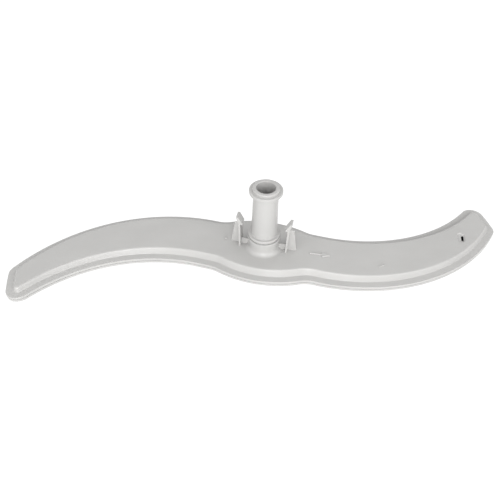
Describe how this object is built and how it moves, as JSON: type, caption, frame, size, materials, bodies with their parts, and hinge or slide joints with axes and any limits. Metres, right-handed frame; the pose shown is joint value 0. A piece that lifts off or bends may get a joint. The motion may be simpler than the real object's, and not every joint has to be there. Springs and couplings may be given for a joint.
{
  "type": "dishwasher spray arm",
  "caption": "Hollow S-shaped dishwasher spray arm of pale grey plastic: welded shells with a flat rim, a tall collared feed tube, snap fingers at the hub and slot jets in shallow dishes.",
  "frame": {"origin": "on the tube axis, on the flat outer face of the nozzle side", "axes": "+Z along the feed tube, from the nozzle side to the tube's mouth; +X along the arm, towards the end with the drive jet on the feed side; +Y across the arm"},
  "size_m": [0.4798, 0.1382, 0.0883],
  "materials": {
    "arm_plastic": "satin moulded polypropylene, pale warm grey",
    "tube_plastic": "satin moulded polypropylene, pale warm grey"
  },
  "bodies": {
    "root": {"feed_side_shell": "arm_plastic", "nozzle_side_shell": "arm_plastic", "feed_tube": "tube_plastic"}
  },
  "joints": []
}
